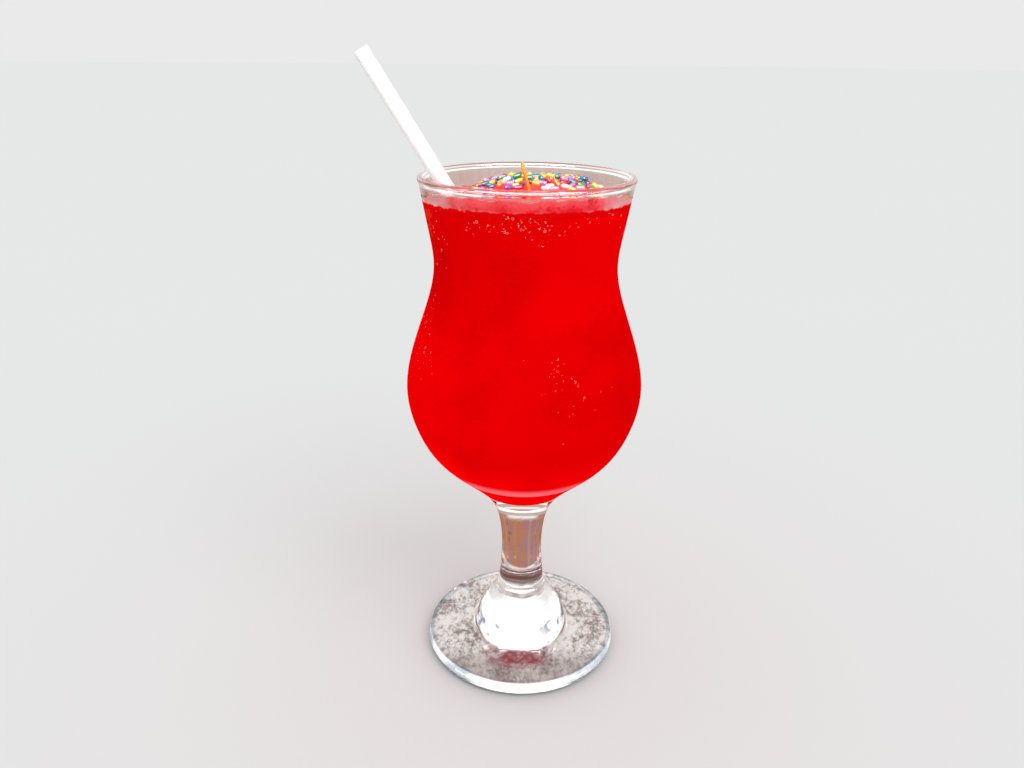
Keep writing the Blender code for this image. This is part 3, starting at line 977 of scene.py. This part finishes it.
def new_tree(name, inputs):
    """A Geometry Nodes tree and its start, which is the wire of its points. Its other inputs are named,
    and the last of them is the material."""
    tree = bpy.data.node_groups.new(name, "GeometryNodeTree")
    tree.is_modifier = True
    for way in ("INPUT", "OUTPUT"):
        tree.interface.new_socket("Geometry", in_out=way, socket_type="NodeSocketGeometry")
    for label, kind in {**inputs, "Finish": "Material"}.items():
        tree.interface.new_socket(label, in_out="INPUT", socket_type="NodeSocket" + kind)
    return tree, Wire(tree).add("NodeGroupInput")


def run_tree(made, tree, values):
    """Runs a tree on an object with values for its named inputs, and keeps the plain mesh."""
    modifier = made.modifiers.new(tree.name, "NODES")
    modifier.node_group = tree
    for item in tree.interface.items_tree:
        if item.in_out == "INPUT" and item.name in values:
            modifier[item.identifier] = values[item.name]
    make_plain(made)


def random_number(start, low, high, seed):
    values = {2: low, 3: high, "Seed": seed}
    return start.add("FunctionNodeRandomValue", {"data_type": "FLOAT"}, values, 1)


def tube(line, radius, sides, swell=1.0, caps=False):
    """A tube along a curve, whose radius swell scales from place to place."""
    ring = line.add("GeometryNodeCurvePrimitiveCircle", None, {"Resolution": sides, "Radius": radius})
    values = {"Curve": line, "Profile Curve": ring, "Scale": swell, "Fill Caps": caps}
    shape = line.add("GeometryNodeCurveToMesh", None, values)
    return line.add("GeometryNodeSetShadeSmooth", None, {"Geometry": shape})


def rod_shape(start, half, radius):
    """A short rod along X, whose ends are rounded off."""
    high_end = start.add("ShaderNodeCombineXYZ", None, {"X": half})
    low_end = start.add("ShaderNodeCombineXYZ", None, {"X": 0.0 - half})
    line = start.add("GeometryNodeCurvePrimitiveLine", None, {"Start": low_end, "End": high_end})
    line = start.add("GeometryNodeResampleCurve", None, {"Curve": line, "Count": 9})
    middle = start.add("GeometryNodeSplineParameter") * 2.0 - 1.0
    power = start.math("POWER", abs(middle), 5.0)
    swell = start.math("SQRT", start.math("MAXIMUM", 1.0 - power, 0.0))
    values = {"Geometry": tube(line, radius, 8, swell), "Distance": 0.00001}
    return start.add("GeometryNodeMergeByDistance", None, values)


def stored(start, name, kind):
    """An attribute of the points that a tree gets."""
    settings = {"data_type": kind}
    return start.add("GeometryNodeInputNamedAttribute", settings, {"Name": name}, "Attribute")


def facing(start, turn):
    """The rotation that faces the way stored on each point, after a turn of its own."""
    way = {"Vector": stored(start, "faces", "FLOAT_VECTOR")}
    upright = start.add("FunctionNodeAlignRotationToVector", None, way)
    own = start.add("FunctionNodeEulerToRotation", None, {0: turn})
    return start.add("FunctionNodeRotateRotation", {"rotation_space": "LOCAL"}, {0: upright, 1: own})


def spread(start, values):
    """Puts instances on the points, from the node's values, and ends the tree as plain faces."""
    placed = start.add("GeometryNodeInstanceOnPoints", None, {"Points": start, **values})
    plain = start.add("GeometryNodeRealizeInstances", None, {"Geometry": placed})
    finish = {"Geometry": plain, "Material": start.also("Finish")}
    start.add("NodeGroupOutput", None, {0: start.add("GeometryNodeSetMaterial", None, finish)})


def add_points(name, places, numbers, vectors):
    """An object of loose points, each with the named numbers and vectors given for it."""
    made = mesh_object(name, [tuple(place) for place in places])
    for label, values in numbers.items():
        made.data.attributes.new(label, "FLOAT", "POINT").data.foreach_set("value", values)
    for label, values in vectors.items():
        data = [number for vector in values for number in vector]
        made.data.attributes.new(label, "FLOAT_VECTOR", "POINT").data.foreach_set("vector", data)
    return made


def scatter_bubbles(settings, foot_rise, side):
    """Bubbles and flecks on the slush's side: their places, how pale each is, and the way it faces."""
    draw = random.Random(settings.seed)
    places, pale, faces = [], [], []
    for angle, height, turn_spread, height_spread, count in BUBBLE_GROUNDS:
        for _ in range(count):
            z = draw.gauss(height, height_spread)
            turn = math.radians(draw.gauss(angle, turn_spread))
            front = (1 + math.cos(turn)) / 2
            if z > DRINK_LEVEL + foot_rise * front - BUBBLE_DEPTH:
                continue
            out = radius_at(z, side)
            flare = (radius_at(z + FLARE_STEP, side) - out) / FLARE_STEP
            outwards = Vector((math.sin(turn), -math.cos(turn), 0))
            places.append(outwards * (out + BUBBLE_LIFT) + Vector((0, 0, z)))
            faces.append(outwards - Vector((0, 0, flare)))
            near_top = smooth_step((z - PALE_BUBBLES_START) / PALE_BUBBLES_RISE)
            pale.append(min(max(draw.gauss(0.05 + 0.35 * near_top, 0.25), 0.0), 1.0))
    return places, pale, faces


def bubble_tree():
    """Puts a ring, a thin or a thick bow, or a dot on each point, in a random size."""
    tree, start = new_tree("Bubbles", {"Radius": "Float", "Seed": "Int"})
    seed = start.also("Seed")
    ring = start.add("GeometryNodeCurvePrimitiveCircle", None, {"Resolution": 12, "Radius": 1.0})
    sweep = {"Resolution": 8, "Radius": 1.0, "Start Angle": 0.5, "Sweep Angle": 2.4}
    bow = start.add("GeometryNodeCurveArc", None, sweep)
    dot = start.add("GeometryNodeMeshIcoSphere", None, {"Radius": 0.45, "Subdivisions": 2})
    thin_bow, thick_bow = (tube(bow, width, 4, caps=True) for width in (0.2, 0.3))
    shapes = start.add("GeometryNodeGeometryToInstance")
    for shape in (tube(ring, 0.16, 4), thin_bow, dot, thick_bow):
        tree.links.new(shape.socket, shapes.socket.node.inputs[0])
    spin = start.add("ShaderNodeCombineXYZ", None, {"Z": random_number(start, 0.0, math.tau, seed)})
    size = random_number(start, 0.0, 1.0, seed + 1)
    picks = {4: 0, 5: 3, "Seed": seed + 2}
    values = {
        "Instance": shapes,
        "Pick Instance": True,
        "Instance Index": start.add("FunctionNodeRandomValue", {"data_type": "INT"}, picks, 2),
        "Rotation": facing(start, spin),
        "Scale": (size * size * 1.3 + 0.35) * start.also("Radius"),
    }
    spread(start, values)
    return tree


def heap_sprinkles(settings, draw):
    """Sprinkles as (spot, lift, turn, tilt, sugar): those that show one by one, then random layers."""
    sugars = list(SUGARS)
    heap = []
    for x, y, lift, turn, tilt, sugar in SHOWN_SPRINKLES:
        heap.append((Vector((x, y)) / 1000, lift / 1000, turn, tilt, sugars.index(sugar)))
    root = Vector(STRAND_POINTS[2][:2])
    for low, high, reach in SPRINKLE_LAYERS:
        for _ in range(SPRINKLE_TRIES):
            out, angle = reach * math.sqrt(draw.random()), draw.uniform(0, math.tau)
            spot = Vector((math.cos(angle) * settings.half_width, math.sin(angle) * settings.half_depth))
            spot = Vector(MOUND_CENTRE) + spot * out
            near = [other for other in heap if low - LAYER_GAP < other[1] < high + LAYER_GAP]
            crowded = any((spot - other[0]).length < settings.spacing for other in near)
            if crowded or (spot - root).length < settings.length / 2 + STRAND_ROOM:
                continue
            turn, tilt = draw.uniform(0, 180), draw.gauss(0, SPRINKLE_TILT)
            heap.append((spot, draw.uniform(low, high), turn, tilt, draw.randrange(len(sugars))))
    return heap


def sprinkle_tree():
    """Puts a rod on each point, turned and tilted as the point says."""
    tree, start = new_tree("Sprinkles", {"Half length": "Float", "Radius": "Float"})
    stretch = {"X": stored(start, "size", "FLOAT"), "Y": 1.0, "Z": 1.0}
    values = {
        "Instance": rod_shape(start, start.also("Half length"), start.also("Radius")),
        "Rotation": facing(start, stored(start, "turns", "FLOAT_VECTOR")),
        "Scale": start.add("ShaderNodeCombineXYZ", None, stretch),
    }
    spread(start, values)
    return tree


def floor_disc():
    """A flat round floor that faces up."""
    angles = [math.tau * k / FLOOR_SIDES for k in range(FLOOR_SIDES)]
    points = [(FLOOR_RADIUS * math.cos(a), FLOOR_RADIUS * math.sin(a), -2 * FLOOR_GAP) for a in angles]
    return mesh_object("floor", points, faces=[tuple(range(FLOOR_SIDES))])


def curved_card(half_turn, *edges):
    """A card bent round the glass, and open at the back. Its two edges are given as (radius, height)."""
    points = []
    for turn in np.radians(np.linspace(-half_turn, half_turn, CARD_STEPS + 1)):
        for radius, height in edges:
            points.append((radius * math.sin(turn), -radius * math.cos(turn), height))
    faces = [(k, k + 1, k + 3, k + 2) for k in range(0, 2 * CARD_STEPS, 2)]
    return mesh_object("card", points, faces=faces)


class DAIQUIRI_OT_stage(bpy.types.Operator):
    """Make the floor, the lights, the camera, and the room and cards that the glass shows"""

    bl_idname = "daiquiri.stage"
    bl_label = "Stage"

    def execute(self, context):
        settings = context.scene.daiquiri_stage
        context.scene.view_settings.view_transform = "Standard"
        floor = floor_disc()
        floor.data.materials.append(floor_material(settings))
        world = bpy.data.worlds.new("soft light")
        world.use_nodes = True
        background = world.node_tree.nodes["Background"]
        background.inputs["Color"].default_value = (1.0, 1.0, 1.0, 1.0)
        background.inputs["Strength"].default_value = settings.sky
        context.scene.world = world
        light = bpy.data.lights.new("key", "SUN")
        light.energy = settings.key
        light.angle = settings.key_width
        key = add_object("key", light)
        key.rotation_euler = Vector(KEY_COMES_FROM).to_track_quat("Z", "Y").to_euler()

        wall = [(0, ROOM_HEIGHT), (ROOM_RADIUS, ROOM_HEIGHT), (ROOM_RADIUS, 0), (0, 0)]
        room = turned("room", [(r, z - FLOOR_GAP) for r, z in wall], ROOM_SIDES)
        room.data.materials.append(room_material(settings))
        glass_only(room)
        white = card_material(settings.lamp)
        for shape in CARDS:
            card = curved_card(*shape)
            card.data.materials.append(white)
            card.visible_transmission = False
            glass_only(card)

        lens = bpy.data.cameras.new("camera")
        lens.lens = settings.lens
        camera = add_object("camera", lens)
        tilt = Matrix.Rotation(math.radians(CAMERA_TILT), 4, "X")
        roll = Matrix.Rotation(math.radians(CAMERA_ROLL), 4, "Z")
        camera.matrix_world = Matrix.Translation(CAMERA_PLACE) @ tilt @ roll
        context.scene.camera = camera
        return {"FINISHED"}


class DAIQUIRI_OT_glass(bpy.types.Operator):
    """Turn the glass, with a finer surface than its solid"""

    bl_idname = "daiquiri.glass"
    bl_label = "Glass"

    def execute(self, context):
        settings = context.scene.daiquiri_glass
        bottom, wall = inside_line(settings.wall)
        lip_centre = (RIM_RADIUS - LIP_RADIUS, GLASS_HEIGHT - LIP_RADIUS)
        lip = arc(lip_centre, (LIP_RADIUS, LIP_RADIUS), 180, -30, 24)
        bowl = outside_line(BOWL_STATIONS[0][0], BOWL_STATIONS[-1][0] - LIP_RADIUS / 2, 200)
        collar = [
            arc((root, height), (bulge, half), COLLAR_ARC, -COLLAR_ARC, 10)
            for height, root, bulge, half in COLLAR_RINGS
        ]
        rises = [(z - DOME_CENTRE) / DOME_RISE for z in (DOME_TOP, DOME_FOOT)]
        ends = [math.degrees(math.asin(rise)) for rise in rises]
        dome = arc((0, DOME_CENTRE), (DOME_RADIUS, DOME_RISE), *ends, 30)
        drop = dome[-1][1] - FOOT_THICKNESS - FOOT_SLOPE
        fillet = arc(dome[-1] + (FILLET_RADIUS, 0), (FILLET_RADIUS, drop), FILLET_START, 270, 10)
        edge = FOOT_THICKNESS / 2
        foot = arc((FOOT_RADIUS - edge, edge), (edge, edge), 90, -90, 24)
        outline = [bottom, wall, lip, bowl[::-1], *collar, dome, fillet, foot, [(0.0, 0.0)]]
        made = turned("fine_glass", np.concatenate(outline), settings.sides)
        zones = (
            glass_material("glass of the foot", settings, FOOT_LIGHT),
            wet_glass_material("glass under the drink", settings.tint, settings.ior_under),
            wet_glass_material("glass round the drink", settings.tint, settings.ior_round),
            glass_material("clear glass", settings, GLASS_LIGHT),
        )
        for zone in zones:
            made.data.materials.append(zone)
        for face in made.data.polygons:
            face.material_index = sum(face.center.z > height for height in GLASS_ZONES)
        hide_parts("glass")
        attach(made, "root")
        return {"FINISHED"}


class DAIQUIRI_OT_drink(bpy.types.Operator):
    """Make the red slush, which reaches just into the wall"""

    bl_idname = "daiquiri.drink"
    bl_label = "Slush"

    def execute(self, context):
        settings, glass = context.scene.daiquiri_drink, context.scene.daiquiri_glass
        bottom, wall = inside_line(glass.wall - settings.reach)
        edge = radius_at(DRINK_LEVEL, wall)
        top = [(edge * k / DRINK_RINGS, DRINK_LEVEL) for k in range(DRINK_RINGS + 1)]
        side = wall[wall[:, 1] < DRINK_LEVEL - DRINK_SHOULDER]
        made = turned("slush", np.concatenate([top, side[::-1], bottom[::-1]]), glass.sides)

        def place(point):
            if point.z < DRINK_LEVEL - DRINK_SHOULDER / 2:
                return point
            height = drink_top(point.x, point.y)
            stretch = radius_at(height, wall) / edge
            return Vector((point.x * stretch, point.y * stretch, height))

        reshape(made, place)
        made.data.materials.append(slush_material(settings))
        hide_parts("daiquiri")
        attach(made, "root")
        return {"FINISHED"}


class DAIQUIRI_OT_bubbles(bpy.types.Operator):
    """Scatter rims of bubbles and flecks of frost over the slush"""

    bl_idname = "daiquiri.bubbles"
    bl_label = "Bubbles"

    def execute(self, context):
        settings = context.scene.daiquiri_drink
        side = inside_line(context.scene.daiquiri_glass.wall - settings.reach)[1]
        foot_rise = context.scene.daiquiri_froth.foot_rise
        places, pale, faces = scatter_bubbles(settings, foot_rise, side)
        made = add_points("bubbles", places, {"tint": pale}, {"faces": faces})
        finish = bubble_material(settings)
        values = {"Radius": settings.bubble_radius, "Seed": settings.seed, "Finish": finish}
        run_tree(made, bubble_tree(), values)
        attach(made, "root")
        return {"FINISHED"}


class DAIQUIRI_OT_froth(bpy.types.Operator):
    """Make the pink froth and the film that it leaves on the wall"""

    bl_idname = "daiquiri.froth"
    bl_label = "Froth"

    def execute(self, context):
        settings, glass = context.scene.daiquiri_froth, context.scene.daiquiri_glass
        wall = inside_line(glass.wall - context.scene.daiquiri_drink.reach * FROTH_REACH)[1]
        edge = radius_at(FROTH_LEVEL, wall)
        top = [(edge * k / FROTH_RINGS, FROTH_LEVEL) for k in range(FROTH_RINGS + 1)]
        low = [(edge * k / FROTH_LOW_RINGS, DRINK_LEVEL) for k in range(FROTH_LOW_RINGS, -1, -1)]
        made = turned("fine_froth", top + low, FROTH_SIDES)

        def place(point):
            if point.z > (DRINK_LEVEL + FROTH_LEVEL) / 2:
                height = froth_top(point.x, point.y)
                height += settings.relief * noise.fractal(point * 600, 1.0, 2.0, 3)
            else:
                height = drink_top(point.x, point.y) - FROTH_DIP + FROTH_RAGS * noise.noise(point * 500)
            stretch = radius_at(height, wall) / edge
            return Vector((point.x * stretch, point.y * stretch, height))

        reshape(made, place)
        made.data.materials.append(froth_material(settings))
        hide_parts("froth")
        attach(made, "root")

        inner = inside_line(glass.wall + FILM_GAP)[1]
        outer = inner[(inner[:, 1] > FILM_BOTTOM) & (inner[:, 1] < settings.film_top)]
        back = outer - (FILM_THICKNESS, 0)
        film = turned("film", np.concatenate([outer[::-1], back, outer[-1:]]), glass.sides)
        film.data.materials.append(film_material(settings))
        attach(film, "root")
        return {"FINISHED"}


class DAIQUIRI_OT_sprinkles(bpy.types.Operator):
    """Heap sugar sprinkles on the froth's mound"""

    bl_idname = "daiquiri.sprinkles"
    bl_label = "Sprinkles"

    def execute(self, context):
        settings = context.scene.daiquiri_sprinkles
        draw = random.Random(settings.seed)
        heap = heap_sprinkles(settings, draw)
        faces = [froth_normal(*spot) for spot, *_ in heap]
        places = [
            Vector((*spot, froth_top(*spot))) + face * lift
            for (spot, lift, *_), face in zip(heap, faces)
        ]
        numbers = {
            "tint": [(sugar + 0.5) / len(SUGARS) for *_, sugar in heap],
            "size": [draw.uniform(*SPRINKLE_SIZES) for _ in heap],
        }
        turns = [(0.0, math.radians(tilt), math.radians(turn)) for _, _, turn, tilt, _ in heap]
        made = add_points("sprinkles", places, numbers, {"turns": turns, "faces": faces})
        finish = sprinkle_material()
        values = {"Half length": settings.length / 2, "Radius": settings.radius, "Finish": finish}
        run_tree(made, sprinkle_tree(), values)
        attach(made, "root")
        return {"FINISHED"}


class DAIQUIRI_OT_straw(bpy.types.Operator):
    """Make the white straw"""

    bl_idname = "daiquiri.straw"
    bl_label = "Straw"

    def execute(self, context):
        settings = context.scene.daiquiri_straw
        tip = Vector(STRAW_TIP)
        lean = math.tan(math.radians(STRAW_LEAN))
        end = tip + Vector((lean, 0, -1)) * (tip.z - STRAW_END_HEIGHT)
        reach = (tip - end).length
        outer, inner = settings.radius, settings.radius - settings.wall
        lip = settings.wall / 2
        middle = outer - lip
        top = arc((middle, reach - lip), (lip, lip), 180, 0, 8)
        low = arc((middle, lip), (lip, lip), 0, -180, 8)
        side = [(outer, reach * (1 - k / STRAW_RINGS)) for k in range(1, STRAW_RINGS)]
        bore = [(inner, reach * k / STRAW_RINGS) for k in range(1, STRAW_RINGS)]
        made = turned("fine_straw", np.concatenate([top, side, low, bore, top[:1]]), STRAW_SIDES)
        lie = (tip - end).to_track_quat("Z", "Y").to_matrix().to_4x4()
        made.data.transform(Matrix.Translation(end) @ lie)
        made.data.materials.append(straw_material(settings))
        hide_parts("straw")
        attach(made, "root")
        return {"FINISHED"}


class DAIQUIRI_OT_strand(bpy.types.Operator):
    """Make the orange sugar strand"""

    bl_idname = "daiquiri.strand"
    bl_label = "Strand"

    def execute(self, context):
        settings = context.scene.daiquiri_strand
        curve = bpy.data.curves.new("fine_strand", "CURVE")
        curve.dimensions = "3D"
        curve.bevel_depth = settings.radius
        curve.bevel_resolution = 4
        curve.use_fill_caps = True
        curve.resolution_u = 10
        spline = curve.splines.new("NURBS")
        spline.points.add(len(STRAND_POINTS) - 1)
        spline.order_u = 3
        spline.use_endpoint_u = True
        for point, (x, y, z, thickness) in zip(spline.points, STRAND_POINTS):
            point.co = (x, y, z, 1.0)
            point.radius = thickness
        holder = add_object("strand curve", curve)
        mesh = plain_mesh(holder)
        bpy.data.objects.remove(holder)
        made = add_object("fine_strand", mesh)
        mesh.shade_smooth()
        mesh.materials.append(strand_material(settings))
        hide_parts("orange_strand")
        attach(made, "root")
        return {"FINISHED"}


class DAIQUIRI_PT_panel(bpy.types.Panel):
    """Lists a button for each operator, and the settings of each group."""

    bl_label = "Strawberry daiquiri"
    bl_idname = "DAIQUIRI_PT_panel"
    bl_space_type = "VIEW_3D"
    bl_region_type = "UI"
    bl_category = "Daiquiri"

    def draw(self, context):
        for operator in OPERATORS:
            self.layout.operator(operator.bl_idname)
        for group, kind in SETTINGS.items():
            box = self.layout.box()
            for name in kind.__annotations__:
                box.prop(getattr(context.scene, group), name)


SETTINGS = {
    "daiquiri_stage": StageSettings,
    "daiquiri_glass": GlassSettings,
    "daiquiri_drink": DrinkSettings,
    "daiquiri_froth": FrothSettings,
    "daiquiri_sprinkles": SprinkleSettings,
    "daiquiri_straw": StrawSettings,
    "daiquiri_strand": StrandSettings,
}
OPERATORS = (
    DAIQUIRI_OT_stage,
    DAIQUIRI_OT_glass,
    DAIQUIRI_OT_drink,
    DAIQUIRI_OT_bubbles,
    DAIQUIRI_OT_froth,
    DAIQUIRI_OT_sprinkles,
    DAIQUIRI_OT_straw,
    DAIQUIRI_OT_strand,
)


def register():
    for kind in (*SETTINGS.values(), *OPERATORS, DAIQUIRI_PT_panel):
        bpy.utils.register_class(kind)
    for name, kind in SETTINGS.items():
        setattr(bpy.types.Scene, name, bpy.props.PointerProperty(type=kind))


def unregister():
    for name in SETTINGS:
        delattr(bpy.types.Scene, name)
    for kind in (DAIQUIRI_PT_panel, *OPERATORS, *SETTINGS.values()):
        bpy.utils.unregister_class(kind)


def main():
    register()
    for operator in OPERATORS:
        group, name = operator.bl_idname.split(".")
        getattr(getattr(bpy.ops, group), name)()


if __name__ == "__main__":
    main()
